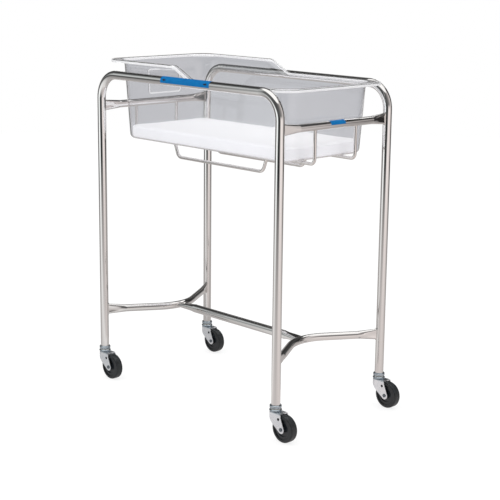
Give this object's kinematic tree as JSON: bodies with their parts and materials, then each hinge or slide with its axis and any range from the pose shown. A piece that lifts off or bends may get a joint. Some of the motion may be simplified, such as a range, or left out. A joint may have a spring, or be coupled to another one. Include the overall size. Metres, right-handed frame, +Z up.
{
  "type": "hospital bassinet",
  "caption": "Clear newborn tub with a raised head end and a thin mattress, on an open bent-tube stand with swivel casters.",
  "frame": {"origin": "on the floor under the middle of the whole object, casters trailing towards the foot end", "axes": "+Z up, +X from the raised head end towards the foot end, +Y from the front rail to the back rail"},
  "size_m": [0.8417, 0.4612, 0.9801],
  "materials": {
    "polished_steel_tube": "polished",
    "steel_rod": "satin",
    "zinc_plated_steel": "satin",
    "clear_plastic": "gloss",
    "mattress_cover": "matte",
    "label_film": "satin",
    "washer_plastic": "satin",
    "hub_plastic": "satin",
    "rubber_tread": "matte"
  },
  "bodies": {
    "stand": {"front_side_frame": "polished_steel_tube", "back_side_frame": "polished_steel_tube", "head_crossbar": "polished_steel_tube", "foot_crossbar": "polished_steel_tube", "head_bow": "polished_steel_tube", "foot_bow": "polished_steel_tube", "stretcher": "polished_steel_tube", "front_cradle_rod": "steel_rod", "back_cradle_rod": "steel_rod", "rail_label": "label_film", "crossbar_label": "label_film", "leg_plug_head_front": "zinc_plated_steel", "swivel_stem_head_front": "zinc_plated_steel", "collar_head_front": "zinc_plated_steel", "leg_plug_head_back": "zinc_plated_steel", "swivel_stem_head_back": "zinc_plated_steel", "collar_head_back": "zinc_plated_steel", "leg_plug_foot_front": "zinc_plated_steel", "swivel_stem_foot_front": "zinc_plated_steel", "collar_foot_front": "zinc_plated_steel", "leg_plug_foot_back": "zinc_plated_steel", "swivel_stem_foot_back": "zinc_plated_steel", "collar_foot_back": "zinc_plated_steel"},
    "tub": {"tub": "clear_plastic"},
    "mattress": {"mattress": "mattress_cover"},
    "swivel_head_front": {"raceway_head_front": "zinc_plated_steel", "swivel_washer_head_front": "washer_plastic", "fork_head_front": "zinc_plated_steel", "axle_head_front": "zinc_plated_steel"},
    "wheel_head_front": {"hub_head_front": "hub_plastic", "tyre_head_front": "rubber_tread"},
    "swivel_head_back": {"raceway_head_back": "zinc_plated_steel", "swivel_washer_head_back": "washer_plastic", "fork_head_back": "zinc_plated_steel", "axle_head_back": "zinc_plated_steel"},
    "wheel_head_back": {"hub_head_back": "hub_plastic", "tyre_head_back": "rubber_tread"},
    "swivel_foot_front": {"raceway_foot_front": "zinc_plated_steel", "swivel_washer_foot_front": "washer_plastic", "fork_foot_front": "zinc_plated_steel", "axle_foot_front": "zinc_plated_steel"},
    "wheel_foot_front": {"hub_foot_front": "hub_plastic", "tyre_foot_front": "rubber_tread"},
    "swivel_foot_back": {"raceway_foot_back": "zinc_plated_steel", "swivel_washer_foot_back": "washer_plastic", "fork_foot_back": "zinc_plated_steel", "axle_foot_back": "zinc_plated_steel"},
    "wheel_foot_back": {"hub_foot_back": "hub_plastic", "tyre_foot_back": "rubber_tread"}
  },
  "joints": [
    {"name": "tub_lift", "type": "slide", "parent": "stand", "child": "tub", "axis": [0, 0, 1], "range_m": [0, 0.3]},
    {"name": "mattress_lift", "type": "slide", "parent": "tub", "child": "mattress", "axis": [0, 0, 1], "range_m": [0, 0.3]},
    {"name": "swivel_head_front", "type": "hinge", "parent": "stand", "child": "swivel_head_front", "pos_m": [-0.4057, -0.213, 0.0805], "axis": [0, 0, 1], "continuous": true},
    {"name": "roll_head_front", "type": "hinge", "parent": "swivel_head_front", "child": "wheel_head_front", "pos_m": [-0.3697, -0.213, 0.0381], "axis": [0, 1, 0], "continuous": true},
    {"name": "swivel_head_back", "type": "hinge", "parent": "stand", "child": "swivel_head_back", "pos_m": [-0.4057, 0.213, 0.0805], "axis": [0, 0, 1], "continuous": true},
    {"name": "roll_head_back", "type": "hinge", "parent": "swivel_head_back", "child": "wheel_head_back", "pos_m": [-0.3697, 0.213, 0.0381], "axis": [0, 1, 0], "continuous": true},
    {"name": "swivel_foot_front", "type": "hinge", "parent": "stand", "child": "swivel_foot_front", "pos_m": [0.3443, -0.213, 0.0805], "axis": [0, 0, 1], "continuous": true},
    {"name": "roll_foot_front", "type": "hinge", "parent": "swivel_foot_front", "child": "wheel_foot_front", "pos_m": [0.3803, -0.213, 0.0381], "axis": [0, 1, 0], "continuous": true},
    {"name": "swivel_foot_back", "type": "hinge", "parent": "stand", "child": "swivel_foot_back", "pos_m": [0.3443, 0.213, 0.0805], "axis": [0, 0, 1], "continuous": true},
    {"name": "roll_foot_back", "type": "hinge", "parent": "swivel_foot_back", "child": "wheel_foot_back", "pos_m": [0.3803, 0.213, 0.0381], "axis": [0, 1, 0], "continuous": true}
  ]
}
